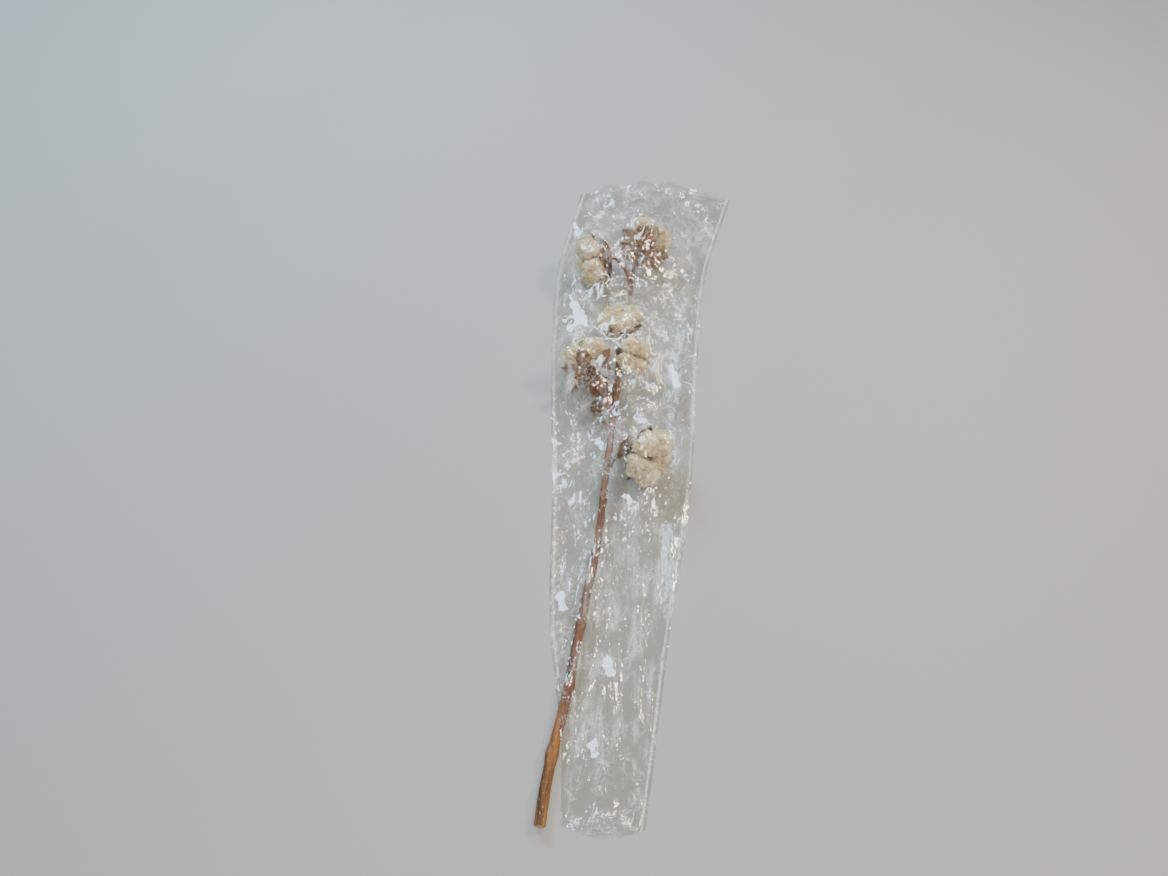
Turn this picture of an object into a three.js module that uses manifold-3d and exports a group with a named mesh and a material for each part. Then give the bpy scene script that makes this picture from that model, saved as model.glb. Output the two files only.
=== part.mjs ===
// A bunch of natural cotton on one cut, branched stem, lying in its clear flower sleeve.
// Six open bolls and one closed pod grow on short side twigs. An open boll is a woody burr whose valves
// have split apart, with one tuft of lint, a lock, lying between each two valves, and on some bolls a
// whorl of papery bracts behind the burr. The sleeve is two tapered film panels, welded along both
// sides and open at head and foot. The left weld has come open over the stem's last 120 mm, and the
// stem sticks out there beside the foot.
// Millimetres. +Y runs from the cut end to the head, and the bunch lies on Z = 0.

import * as THREE from "three";
import { mergeVertices } from "three/addons/utils/BufferGeometryUtils.js";
import Module from "manifold-3d";

const wasm = await Module();
wasm.setup();

// ---- driving dimensions ----

const GAP = 0.4; // clear space kept between pieces that touch
const BARK = 0x8a5434;
const BURR_BROWN = 0x6f4727;
const BRACT_TAN = 0xa9794a;
const LINT_CREAM = 0xeadfc8;
const FILM_CLEAR = 0xe6edf2;

// The stem's middle line, from the cut end to the fork under the two top bolls.
const STEM_LINE = [
  [-46.6, 124, 6.6],
  [-45.6, 151, 6.8],
  [-41.3, 190, 7.4],
  [-35.0, 231, 8.4],
  [-31.6, 271, 9.4],
  [-26.6, 319, 11],
  [-20.8, 380, 13.6],
  [-18.8, 445, 17],
  [-17.2, 485, 19],
  [-16.6, 523, 20.6],
  [-13.8, 568, 21.6],
  [-11.4, 600, 22.4],
  [-9.6, 645, 25.6],
  [-9.4, 677, 28.4],
];
const STEM_CUT_RADIUS = 5;
const STEM_FORK_RADIUS = 2.5;
const STEM_TAPER = 0.85;
const STEM_SIDES = 9;
const STEM_STEPS = 60;
const NODE_SWELL = 0.3; // how far the bark swells where a twig or an old leaf grew
const NODE_HALF_LENGTH = 4.5;
const NODE_STATIONS = [178, 236, 292, 341, 416, 462, 506, 534, 541, 580, 632, 670]; // along Y

// Twigs start inside the stem and end at the base of what they carry.
const TWIG_ROOT_RADIUS = 2.3;
const TWIG_END_RADIUS = 2;
const TWIG_STRAIGHT = 11; // the length over which a twig lines up with what it carries
const TWIG_SIDES = 6;
const TWIG_STEPS = 6;

// An open boll of scale 1 is about 54 mm across its lint.
const RECEPTACLE_RADIUS = 5.6;
const RECEPTACLE_HEIGHT = 5.4;
const RECEPTACLE_OUTLINE = [
  [0, 0],
  [0.62, 0],
  [1, 0.45],
  [0.8, 0.9],
  [0, 1],
]; // shares of its radius and height
const ROUND_SIDES = 12; // of the receptacle and of the bracts' ring
const VALVE_THICKNESS = 1.3;
const VALVE_EDGE_RISE = 2; // a valve is boat-shaped, its edges this much above its keel
const VALVE_ROOT_HALF_WIDTH = 2.6;
const VALVE_TIP_HALF_WIDTH = 0.5;
const VALVE_BREADTH = 34; // shared out between the valves, so that four are broader than five
const VALVE_SHOULDER = 0.9; // below 1, a valve is broadest nearer its root
const VALVE_POINTEDNESS = 1.2;
const VALVE_STEPS = [6, 2]; // along and across
const VALVE_RUN = [
  [2.6, 3.2],
  [10, 4.2],
  [17, 7],
  [23, 11],
  [27, 14],
  [30, 16],
]; // radius and height along a valve's keel, from the receptacle to the pointed tip
const LOCK_REACH = 15.3; // from the boll's axis to a lock's middle
const LOCK_RADIAL = 13;
const LOCK_TALL = 12.6;
const LOCK_MIDDLE = 22; // height of a lock's middle above the base of the boll
const LOCK_HALF_WIDTH = 15;
const LOCK_LEAST_HALF_WIDTH = 0.35; // at the boll's axis, where the wedge closes
const LOCK_FULLNESS = 1.6; // how squarely a lock fills the room between its neighbours
const LOCK_GAP = 0.7; // from a lock's side to the plane between two locks
const LOCK_VARIATION = 0.07; // no two locks of a boll are equally full
const LOCK_PHASE = 2.4;
const LOCK_SIDES = [10, 7];
const BRACT_THICKNESS = 0.8;
const BRACT_SPREAD = [4, 11, 19, 26, 30.5]; // distances from the axis along a bract
const BRACT_ROOT_Z = -1.5;
const BRACT_CURVE = 1.8; // how late along its length a bract bends to its lift
const BRACT_ROOT_HALF_WIDTH = 2.4;
const BRACT_HALF_WIDTH = 10.5;
const BRACT_CUT_OFF = 0.86; // the share of a full leaf outline at which the toothed margin stands
const BRACT_SHOULDER = 0.9;
const BRACT_EDGE_RISE = 1.4;
const BRACT_TEETH = 5;
const BRACT_TOOTH_DEPTH = 0.24;
const BRACT_TOOTH_SHARPNESS = 4;
const BRACT_STEPS = 4;
const BRACTS = 3;
const BRACT_RING_INSIDE = 3.3; // the ring that the bracts grow from, round the end of the twig
const BRACT_RING_OUTSIDE = 5.2;
const BRACT_RING_FOOT = -2.4;
const EDGE_ONSET = 0.08; // a blade's edges already stand up a little at its root
const HEADING_STEP = 0.01; // the share of a run over which its direction is taken

// base: where the boll meets its twig; axis: the way it faces; spin: degrees about that axis.
// bractLift: how far the bracts' tips reach forward of their ring, or back where it is negative.
const BOLLS = [
  {
    name: "boll_1", locks: 5, scale: 1, spin: 18, bractSpin: 95, bractLift: 11,
    base: [-36, 714, 32.5], axis: [-0.93, -0.33, 0],
    from: [-9.4, 671, 28], via: [-12, 696, 30.5],
  },
  {
    name: "boll_2", locks: 4, scale: 1, spin: 45, bractSpin: 90, bractLift: 13,
    base: [-2, 722, 37], axis: [0.3, 0.93, -0.2],
    from: [-9.4, 673, 28.2], via: [-9, 696, 34],
  },
  {
    name: "boll_3", locks: 4, scale: 0.88, spin: 20, bractSpin: null, bractLift: 0,
    base: [-15, 605, 28.5], axis: [-0.2, 0.42, 0.88],
    from: [-13, 580, 21.9], via: [-12.4, 592, 22.2],
  },
  {
    name: "boll_4", locks: 5, scale: 0.95, spin: 18, bractSpin: 180, bractLift: -14,
    base: [-42, 549, 31.5], axis: [-0.32, 0.95, 0.02],
    from: [-16.6, 505, 19.9], via: [-20, 520, 21],
  },
  {
    name: "boll_5", locks: 4, scale: 0.72, spin: 45, bractSpin: null, bractLift: 0,
    base: [-10, 574, 33.5], axis: [0.62, -0.45, 0.64],
    from: [-15.5, 550, 21.2], via: [-19, 570, 22],
  },
  {
    name: "boll_6", locks: 5, scale: 1, spin: 0, bractSpin: 60, bractLift: 9,
    base: [6, 466, 28], axis: [0.7, -0.6, 0.35],
    from: [-18.8, 424, 15.9], via: [-19, 462, 18],
  },
];
const POD = {
  base: [-31, 512, 16.5], axis: [-0.42, 0.9, 0.06],
  from: [-17.6, 482, 18.8], via: [-20, 494, 18.5],
};
const POD_LENGTH = 17;
const POD_RADIUS = 6.4;
const POD_SHOULDER = 0.8;
const POD_ROUNDNESS = 0.7;
const POD_STEPS = 7;
const POD_SIDES = 10;

// The film sleeve: its two welded edges from the foot to the head, raised where the bolls fill it.
const SLEEVE_LEFT = [
  [-31, 128, 0.6],
  [-36, 186, 0.6],
  [-57, 290, 2],
  [-70, 430, 10],
  [-86, 570, 20],
  [-93, 705, 18],
  [-80, 846, 4],
];
const SLEEVE_RIGHT = [
  [36, 130, 0.6],
  [42, 200, 1],
  [49, 290, 3],
  [63, 430, 16],
  [66, 570, 16],
  [73, 710, 12],
  [102, 852, 3],
];
const SEAM_OPEN_TO = 245; // the left weld has come open below this Y
const FOOT_BOW = 8; // how far the middle of each open end stands out beyond its corners
const HEAD_BOW = 14;
const BOW_FADE = 6; // how quickly that dies away along the sleeve
const FILM_THICKNESS = 0.7;
const FILM_CLEARANCE = 1.2; // from the bunch to the film round it
const CELL_REACH = [13, 26]; // a little over one cell of the film, so that no cell cuts into the bunch
const FRONT_ACROSS = 16;
const FRONT_ALONG = 36;
const BACK_ACROSS = 8;
const BACK_ALONG = 18;
const BACK_FLATNESS = 1.43; // the middle half of the back panel lies flat on the ground
const MOUTH_OPENING = 13; // height that the film keeps where nothing fills it
const DRAPE_PASSES = 260;

// ---- small helpers ----

const vec = (p) => new THREE.Vector3(...p);
const lerp = THREE.MathUtils.lerp;

function mesh(name, geometry, color, roughness) {
  const made = new THREE.Mesh(geometry, new THREE.MeshStandardMaterial({ color, roughness, metalness: 0 }));
  made.name = name;
  return made;
}

// Moves every vertex of a geometry through a function that changes the vector given to it.
function shaped(geometry, move) {
  const place = geometry.getAttribute("position");
  const v = new THREE.Vector3();
  for (let i = 0; i < place.count; i++) {
    v.fromBufferAttribute(place, i);
    move(v);
    place.setXYZ(i, v.x, v.y, v.z);
  }
  return geometry;
}

function solid(geometry) {
  const bare = geometry.clone();
  bare.deleteAttribute("normal");
  bare.deleteAttribute("uv");
  const merged = mergeVertices(bare, 1e-4);
  return new wasm.Manifold(
    new wasm.Mesh({
      numProp: 3,
      vertProperties: new Float32Array(merged.getAttribute("position").array),
      triVerts: new Uint32Array(merged.index.array),
    }),
  );
}

function joined(geometries) {
  const whole = geometries.map(solid).reduce((sum, next) => sum.add(next));
  const { vertProperties, triVerts } = whole.getMesh();
  return new THREE.BufferGeometry()
    .setAttribute("position", new THREE.BufferAttribute(vertProperties, 3))
    .setIndex(new THREE.BufferAttribute(triVerts, 1));
}

// A closed round bar along a curve; radiusAt takes the share of the length and the point there.
function bar(curve, sides, steps, radiusAt) {
  const { normals, binormals } = curve.computeFrenetFrames(steps, false);
  const centre = new THREE.Vector3();
  return shaped(new THREE.CylinderGeometry(1, 1, 1, sides, steps), (v) => {
    const step = Math.round((v.y + 0.5) * steps);
    curve.getPointAt(step / steps, centre);
    const radius = radiusAt(step / steps, centre);
    const [across, up] = [v.x * radius, -v.z * radius];
    v.copy(centre).addScaledVector(normals[step], across).addScaledVector(binormals[step], up);
  });
}

// The group that carries a boll or pod: its own +Z is the axis it faces along.
function facing({ base, axis, scale = 1, spin = 0 }) {
  const group = new THREE.Group();
  group.position.set(...base);
  group.quaternion.setFromUnitVectors(new THREE.Vector3(0, 0, 1), vec(axis).normalize());
  group.rotateZ(THREE.MathUtils.degToRad(spin));
  group.scale.setScalar(scale);
  return group;
}

// ---- stem and twigs: one grown piece ----

function stemRadius(share, at) {
  const plain = lerp(STEM_CUT_RADIUS, STEM_FORK_RADIUS, share ** STEM_TAPER);
  const swell = NODE_STATIONS.reduce((sum, y) => sum + Math.exp(-(((at.y - y) / NODE_HALF_LENGTH) ** 2)), 0);
  return plain * (1 + NODE_SWELL * Math.min(1, swell));
}

// A twig arrives along the axis of what it carries and stops just short of it.
function twig({ from, via, base, axis }) {
  const ahead = vec(axis).normalize();
  const before = (distance) => vec(base).addScaledVector(ahead, -distance);
  const line = new THREE.CubicBezierCurve3(vec(from), vec(via), before(TWIG_STRAIGHT), before(GAP));
  return bar(line, TWIG_SIDES, TWIG_STEPS, (share) => lerp(TWIG_ROOT_RADIUS, TWIG_END_RADIUS, share));
}

function stemWithTwigs() {
  const line = new THREE.CatmullRomCurve3(STEM_LINE.map(vec));
  const stalk = bar(line, STEM_SIDES, STEM_STEPS, stemRadius);
  return mesh("stem", joined([stalk, ...[...BOLLS, POD].map(twig)]), BARK, 0.8);
}

// ---- one open boll ----

function runPoint(run, share) {
  const curve = new THREE.SplineCurve(run.map(([r, z]) => new THREE.Vector2(r, z)));
  return curve.getPointAt(share);
}

// A thin blade that follows a run of radius and height, at an azimuth about the boll's axis.
function blade({ run, halfWidth, thickness, rise, along, across, azimuth, reach = () => 1 }) {
  const geometry = new THREE.BoxGeometry(1, 1, 1, along, across, 1);
  shaped(geometry, (v) => {
    const side = v.y * 2;
    const share = (v.x + 0.5) * reach(side, v.x + 0.5);
    const at = runPoint(run, share);
    const behind = runPoint(run, Math.max(0, share - HEADING_STEP));
    const ahead = runPoint(run, Math.min(1, share + HEADING_STEP)).sub(behind).normalize();
    const standing = Math.sin(Math.PI * Math.min(share + EDGE_ONSET, 1));
    const lift = v.z * thickness + rise * side * side * standing;
    v.set(at.x - ahead.y * lift, side * halfWidth(share), at.y + ahead.x * lift);
  });
  return geometry.rotateZ(azimuth);
}

function burr(locks) {
  const size = new THREE.Vector2(RECEPTACLE_RADIUS, RECEPTACLE_HEIGHT);
  const outline = RECEPTACLE_OUTLINE.map(([r, z]) => new THREE.Vector2(r, z).multiply(size));
  const receptacle = new THREE.LatheGeometry(outline, ROUND_SIDES).rotateX(Math.PI / 2);
  const widest = VALVE_BREADTH / locks;
  const halfWidth = (share) =>
    lerp(VALVE_ROOT_HALF_WIDTH, VALVE_TIP_HALF_WIDTH, share) +
    widest * Math.sin(Math.PI * share ** VALVE_SHOULDER) ** VALVE_POINTEDNESS;
  const valves = Array.from({ length: locks }, (_, i) =>
    blade({
      run: VALVE_RUN,
      halfWidth,
      thickness: VALVE_THICKNESS,
      rise: VALVE_EDGE_RISE,
      along: VALVE_STEPS[0],
      across: VALVE_STEPS[1],
      azimuth: ((i + 0.5) * 2 * Math.PI) / locks,
    }),
  );
  return joined([receptacle, ...valves]);
}

// The height that a lock's underside keeps to above the valves, at a distance from the axis.
function lockFloor(distance) {
  const runs = VALVE_RUN;
  const next = Math.max(1, runs.findIndex(([r]) => r >= distance));
  const [[r0, z0], [r1, z1]] = [runs[next - 1], runs[next]];
  const keel = lerp(z0, z1, THREE.MathUtils.clamp((distance - r0) / (r1 - r0), 0, 1));
  return Math.max(keel + VALVE_EDGE_RISE + VALVE_THICKNESS + GAP, RECEPTACLE_HEIGHT + GAP);
}

function lock(locks, index) {
  const wedge = Math.tan(Math.PI / locks);
  const fullness = 1 + LOCK_VARIATION * Math.sin(index * LOCK_PHASE + locks);
  const geometry = new THREE.SphereGeometry(1, ...LOCK_SIDES);
  shaped(geometry, (v) => {
    const reach = LOCK_REACH + v.x * LOCK_RADIAL * fullness;
    const halfRoom = THREE.MathUtils.clamp(reach * wedge - LOCK_GAP, LOCK_LEAST_HALF_WIDTH, LOCK_HALF_WIDTH);
    const across = halfRoom * Math.tanh(LOCK_FULLNESS * v.y);
    const height = LOCK_MIDDLE + v.z * LOCK_TALL * fullness;
    v.set(reach, across, Math.max(height, lockFloor(Math.hypot(reach, across))));
  });
  return geometry.rotateZ((index * 2 * Math.PI) / locks);
}

function bractWhorl(lift) {
  const [first, last] = [BRACT_SPREAD[0], BRACT_SPREAD.at(-1)];
  const corners = [
    [BRACT_RING_INSIDE, BRACT_RING_FOOT],
    [BRACT_RING_OUTSIDE, BRACT_RING_FOOT],
    [BRACT_RING_OUTSIDE, -GAP],
    [BRACT_RING_INSIDE, -GAP],
    [BRACT_RING_INSIDE, BRACT_RING_FOOT],
  ].map(([r, z]) => new THREE.Vector2(r, z));
  const ring = new THREE.LatheGeometry(corners, ROUND_SIDES).rotateX(Math.PI / 2);
  const bend = (r) => lift * ((r - first) / (last - first)) ** BRACT_CURVE;
  const run = BRACT_SPREAD.map((r) => [r, BRACT_ROOT_Z + bend(r)]);
  const halfWidth = (share) =>
    BRACT_ROOT_HALF_WIDTH + BRACT_HALF_WIDTH * Math.sin(Math.PI * (share * BRACT_CUT_OFF) ** BRACT_SHOULDER);
  // Every other point of the far margin is drawn back, which leaves the teeth.
  const reach = (side, share) => {
    const notch = Math.round((side + 1) * BRACT_TEETH) % 2 === 0 ? BRACT_TOOTH_DEPTH : 0;
    return 1 - notch * share ** BRACT_TOOTH_SHARPNESS;
  };
  const blades = Array.from({ length: BRACTS }, (_, i) =>
    blade({
      run,
      halfWidth,
      reach,
      thickness: BRACT_THICKNESS,
      rise: BRACT_EDGE_RISE,
      along: BRACT_STEPS,
      across: BRACT_TEETH * 2,
      azimuth: (i * 2 * Math.PI) / BRACTS,
    }),
  );
  return joined([ring, ...blades]);
}

function openBoll(boll) {
  const group = facing(boll);
  group.add(mesh(`${boll.name}_burr`, burr(boll.locks), BURR_BROWN, 0.75));
  for (let i = 0; i < boll.locks; i++)
    group.add(mesh(`${boll.name}_lock_${i + 1}`, lock(boll.locks, i), LINT_CREAM, 1));
  if (boll.bractSpin !== null) {
    const bracts = mesh(`${boll.name}_bracts`, bractWhorl(boll.bractLift), BRACT_TAN, 0.85);
    bracts.rotateZ(THREE.MathUtils.degToRad(boll.bractSpin));
    group.add(bracts);
  }
  return group;
}

function closedPod() {
  const group = facing(POD);
  const outline = Array.from({ length: POD_STEPS + 1 }, (_, i) => {
    const share = i / POD_STEPS;
    const round = i % POD_STEPS === 0 ? 0 : Math.sin(Math.PI * share ** POD_SHOULDER) ** POD_ROUNDNESS;
    return new THREE.Vector2(POD_RADIUS * round, share * POD_LENGTH);
  });
  const capsule = new THREE.LatheGeometry(outline, POD_SIDES).rotateX(Math.PI / 2);
  group.add(mesh("closed_pod", capsule, BURR_BROWN, 0.75));
  return group;
}

// ---- the film sleeve ----

const leftEdge = new THREE.CatmullRomCurve3(SLEEVE_LEFT.map(vec));
const rightEdge = new THREE.CatmullRomCurve3(SLEEVE_RIGHT.map(vec));

// Where a share across and along the sleeve lies; its height is that of the welded edges there.
function sleevePlan(across, along) {
  const at = leftEdge.getPoint(along).lerp(rightEdge.getPoint(along), across);
  const bow = HEAD_BOW * along ** BOW_FADE - FOOT_BOW * (1 - along) ** BOW_FADE;
  at.y += Math.sin(Math.PI * across) * bow;
  return at;
}

function pointsOf(bunch) {
  const points = [];
  bunch.updateMatrixWorld(true);
  bunch.traverse((part) => {
    if (!part.isMesh) return;
    const place = part.geometry.getAttribute("position");
    for (let i = 0; i < place.count; i++)
      points.push(new THREE.Vector3().fromBufferAttribute(place, i).applyMatrix4(part.matrixWorld));
  });
  return points;
}

// The lowest and highest point of the bunch near a place on the plan.
function bunchAt(points, at) {
  const [reachX, reachY] = CELL_REACH;
  const near = points.filter((p) => Math.abs(p.x - at.x) < reachX && Math.abs(p.y - at.y) < reachY);
  const heights = near.map((p) => p.z);
  return [Math.min(...heights, Infinity), Math.max(...heights, 0)];
}

// The back panel lies on the ground and curls up to the welds, under the bunch.
function backHeight(points) {
  return (column, row) => {
    const at = sleevePlan(column / BACK_ACROSS, row / BACK_ALONG);
    const side = Math.max(0, 1 - BACK_FLATNESS * Math.sin((Math.PI * column) / BACK_ACROSS));
    const [lowest] = bunchAt(points, at);
    if (column % BACK_ACROSS === 0 && at.y > SEAM_OPEN_TO) return at.z;
    return Math.max(0, Math.min(at.z * side ** 2, lowest - FILM_CLEARANCE - FILM_THICKNESS));
  };
}

// The front panel is pulled taut between the welds, the open ends and the bunch under it.
function frontHeight(points) {
  const columns = FRONT_ACROSS + 1;
  const rows = FRONT_ALONG + 1;
  const under = Array.from({ length: rows * columns }, (_, i) => {
    const column = i % columns;
    const at = sleevePlan(column / FRONT_ACROSS, Math.floor(i / columns) / FRONT_ALONG);
    const welded = at.z + FILM_THICKNESS + GAP;
    if (column % FRONT_ACROSS === 0 && at.y > SEAM_OPEN_TO) return welded;
    const open = welded + MOUTH_OPENING * Math.sin((Math.PI * column) / FRONT_ACROSS);
    return Math.max(bunchAt(points, at)[1] + FILM_CLEARANCE, open);
  });
  const heights = [...under];
  for (let pass = 0; pass < DRAPE_PASSES; pass++)
    for (let i = columns; i < heights.length - columns; i++) {
      if ((i % columns) % FRONT_ACROSS === 0) continue;
      const taut = (heights[i - 1] + heights[i + 1] + heights[i - columns] + heights[i + columns]) / 4;
      heights[i] = Math.max(under[i], taut);
    }
  return (column, row) => heights[row * columns + column];
}

// A closed sheet over the sleeve's plan. Both of its faces are cut into triangles the same way, so
// that it is equally thick everywhere.
function filmPanel(name, across, along, heightAt) {
  const [columns, rows] = [across + 1, along + 1];
  const layer = columns * rows;
  const place = [];
  for (const rise of [0, FILM_THICKNESS])
    for (let i = 0; i < layer; i++) {
      const [column, row] = [i % columns, Math.floor(i / columns)];
      const at = sleevePlan(column / across, row / along);
      place.push(at.x, at.y, heightAt(column, row) + rise);
    }
  const faces = [];
  for (let i = 0; i < layer - columns; i++) {
    if (i % columns === across) continue;
    const [a, b, c, d] = [i, i + 1, i + columns + 1, i + columns];
    faces.push(a, c, b, a, d, c, a + layer, b + layer, c + layer, a + layer, c + layer, d + layer);
  }
  const rim = [];
  for (let column = 0; column < across; column++) rim.push(column);
  for (let row = 0; row < along; row++) rim.push(row * columns + across);
  for (let column = across; column > 0; column--) rim.push(along * columns + column);
  for (let row = along; row > 0; row--) rim.push(row * columns);
  rim.forEach((a, i) => {
    const b = rim[(i + 1) % rim.length];
    faces.push(a, b, b + layer, a, b + layer, a + layer);
  });
  const geometry = new THREE.BufferGeometry().setIndex(faces);
  geometry.setAttribute("position", new THREE.Float32BufferAttribute(place, 3));
  return mesh(name, geometry, FILM_CLEAR, 0.1);
}

// ---- assembly ----

const bunch = new THREE.Group();
bunch.add(stemWithTwigs());
for (const boll of BOLLS) bunch.add(openBoll(boll));
bunch.add(closedPod());
const points = pointsOf(bunch);
bunch.add(filmPanel("sleeve_back_film", BACK_ACROSS, BACK_ALONG, backHeight(points)));
bunch.add(filmPanel("sleeve_front_film", FRONT_ACROSS, FRONT_ALONG, frontHeight(points)));

// The part's origin is under the middle of its footprint.
const footprint = new THREE.Box3().setFromObject(bunch, true);
const middle = footprint.getCenter(new THREE.Vector3());
bunch.position.set(-middle.x, -middle.y, -footprint.min.z);

const cottonBunch = new THREE.Group();
cottonBunch.add(bunch);

export default cottonBunch;
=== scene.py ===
import math
import random

import bmesh
import bpy
import numpy as np
from mathutils import Matrix, Vector, noise
from mathutils.bvhtree import BVHTree


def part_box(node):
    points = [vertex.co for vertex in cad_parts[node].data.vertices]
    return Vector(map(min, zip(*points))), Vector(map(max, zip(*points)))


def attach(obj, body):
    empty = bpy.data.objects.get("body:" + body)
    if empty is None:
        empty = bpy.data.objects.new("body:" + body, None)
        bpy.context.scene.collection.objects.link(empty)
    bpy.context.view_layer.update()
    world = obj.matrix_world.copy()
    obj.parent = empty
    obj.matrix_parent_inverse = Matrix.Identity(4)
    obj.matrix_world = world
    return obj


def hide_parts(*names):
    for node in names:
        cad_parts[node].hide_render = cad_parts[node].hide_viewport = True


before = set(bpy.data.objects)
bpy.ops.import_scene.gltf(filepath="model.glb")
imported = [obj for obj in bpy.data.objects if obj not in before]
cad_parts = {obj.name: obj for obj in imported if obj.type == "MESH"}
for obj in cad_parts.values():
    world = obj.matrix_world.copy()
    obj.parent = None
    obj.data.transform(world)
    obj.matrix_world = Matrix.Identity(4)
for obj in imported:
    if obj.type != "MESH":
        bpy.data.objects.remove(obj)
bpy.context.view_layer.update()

mm = 0.001

# ---------------------------------------------------------------------------
# Stem
# One grown piece: a cut cotton stalk with the short twigs that carried the bolls. The dry bark is
# reddish brown, drawn into fine ridges along its length, and swollen where leaves and twigs grew.
# ---------------------------------------------------------------------------

bpy.ops.object.select_all(action="DESELECT")


def grown_from(node, name, voxel):
    """A new piece with the shape of a CAD node, its facets melted into one fine skin."""
    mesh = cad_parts[node].data.copy()
    mesh.name = name
    piece = bpy.data.objects.new(name, mesh)
    bpy.context.scene.collection.objects.link(piece)
    bpy.context.view_layer.objects.active = piece
    piece.select_set(True)
    bpy.ops.object.mode_set(mode="EDIT")
    bpy.ops.mesh.select_all(action="SELECT")
    bpy.ops.mesh.remove_doubles(threshold=0.00002)
    bpy.ops.object.mode_set(mode="OBJECT")
    remesh = piece.modifiers.new("skin", "REMESH")
    remesh.mode = "VOXEL"
    remesh.voxel_size = voxel
    bpy.ops.object.modifier_apply(modifier="skin")
    smooth = piece.modifiers.new("rounding", "SMOOTH")
    smooth.factor = 0.5
    smooth.iterations = 6
    bpy.ops.object.modifier_apply(modifier="rounding")
    piece.data.materials.clear()
    bpy.ops.object.shade_smooth()
    piece.select_set(False)
    return piece


def push_along_normals(piece, amount):
    """Moves every vertex along its normal by amount(place, normal), in metres."""
    mesh = piece.data
    count = len(mesh.vertices)
    place, normal = np.empty(count * 3), np.empty(count * 3)
    mesh.vertices.foreach_get("co", place)
    mesh.vertices.foreach_get("normal", normal)
    place, normal = place.reshape(-1, 3), normal.reshape(-1, 3)
    shift = np.array([amount(Vector(p), Vector(n)) for p, n in zip(place, normal)])
    mesh.vertices.foreach_set("co", (place + normal * shift[:, None]).ravel())
    mesh.update()


def new_material(name, roughness):
    """A material with its Principled shader; returns the material, its nodes, its links and the shader."""
    material = bpy.data.materials.new(name)
    material.use_nodes = True
    nodes, links = material.node_tree.nodes, material.node_tree.links
    shader = nodes["Principled BSDF"]
    shader.inputs["Roughness"].default_value = roughness
    return material, nodes, links, shader


def stretched_noise(nodes, links, scale, stretch, detail=4.0):
    """A noise on Object coordinates, stretched by a factor for each axis; returns its node."""
    place = nodes.new("ShaderNodeTexCoord")
    mapping = nodes.new("ShaderNodeMapping")
    mapping.inputs["Scale"].default_value = stretch
    texture = nodes.new("ShaderNodeTexNoise")
    texture.inputs["Scale"].default_value = scale
    texture.inputs["Detail"].default_value = detail
    links.new(place.outputs["Object"], mapping.inputs["Vector"])
    links.new(mapping.outputs["Vector"], texture.inputs["Vector"])
    return texture


def ramp(nodes, links, source, stops):
    """A colour ramp from a node's first value output; stops are (position, colour)."""
    node = nodes.new("ShaderNodeValToRGB")
    elements = node.color_ramp.elements
    while len(elements) < len(stops):
        elements.new(0.5)
    for element, (position, colour) in zip(elements, stops):
        element.position = position
        element.color = (*colour, 1)
    links.new(source, node.inputs["Fac"])
    return node


def bumped(nodes, links, shader, source, strength, distance):
    bump = nodes.new("ShaderNodeBump")
    bump.inputs["Strength"].default_value = strength
    bump.inputs["Distance"].default_value = distance
    links.new(source, bump.inputs["Height"])
    links.new(bump.outputs["Normal"], shader.inputs["Normal"])
    return bump


bark_red = (0.13, 0.04, 0.011)
bark_dark = (0.038, 0.012, 0.004)
bark_orange = (0.25, 0.085, 0.02)
cut_wood = (0.62, 0.44, 0.24)

bark, nodes, links, shader = new_material("dry_bark", 0.62)
streaks = stretched_noise(nodes, links, 260, (1, 0.06, 1), 6)
bark_colour = ramp(nodes, links, streaks.outputs["Fac"],
                   [(0.28, bark_dark), (0.46, bark_red), (0.62, bark_orange), (0.78, bark_red)])
# The lower end has lost its outer skin and is more orange.
place = nodes.new("ShaderNodeTexCoord")
parts = nodes.new("ShaderNodeSeparateXYZ")
lower = nodes.new("ShaderNodeMapRange")
lower.inputs["From Min"].default_value = -0.22
lower.inputs["From Max"].default_value = -0.36
links.new(place.outputs["Object"], parts.inputs["Vector"])
links.new(parts.outputs["Y"], lower.inputs["Value"])
bare = ramp(nodes, links, streaks.outputs["Fac"],
            [(0.3, (0.06, 0.022, 0.005)), (0.5, (0.22, 0.08, 0.011)), (0.7, (0.38, 0.155, 0.02)),
             (0.8, bark_orange)])
by_height = nodes.new("ShaderNodeMix")
by_height.data_type = "RGBA"
links.new(lower.outputs["Result"], by_height.inputs["Factor"])
links.new(bark_colour.outputs["Color"], by_height.inputs[6])
links.new(bare.outputs["Color"], by_height.inputs[7])
pores = stretched_noise(nodes, links, 900, (1, 0.5, 1), 2)
pore_tint = ramp(nodes, links, pores.outputs["Fac"], [(0.62, (0, 0, 0)), (0.7, (1, 1, 1))])
spotted = nodes.new("ShaderNodeMix")
spotted.data_type = "RGBA"
spotted.inputs[7].default_value = (0.42, 0.25, 0.12, 1)
links.new(pore_tint.outputs["Color"], spotted.inputs["Factor"])
links.new(by_height.outputs[2], spotted.inputs[6])
links.new(spotted.outputs[2], shader.inputs["Base Color"])
bumped(nodes, links, shader, streaks.outputs["Fac"], 0.8, 0.0006)

pith, nodes, links, shader = new_material("cut_end_wood", 0.8)
grain = stretched_noise(nodes, links, 900, (1, 1, 1), 3)
grain_colour = ramp(nodes, links, grain.outputs["Fac"],
                    [(0.35, (0.36, 0.22, 0.1)), (0.6, cut_wood), (0.75, (0.72, 0.56, 0.34))])
links.new(grain_colour.outputs["Color"], shader.inputs["Base Color"])
bumped(nodes, links, shader, grain.outputs["Fac"], 0.5, 0.0003)

stem = grown_from("stem", "cotton_stem", 0.62 * mm)
cut_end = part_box("stem")[0].y


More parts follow.
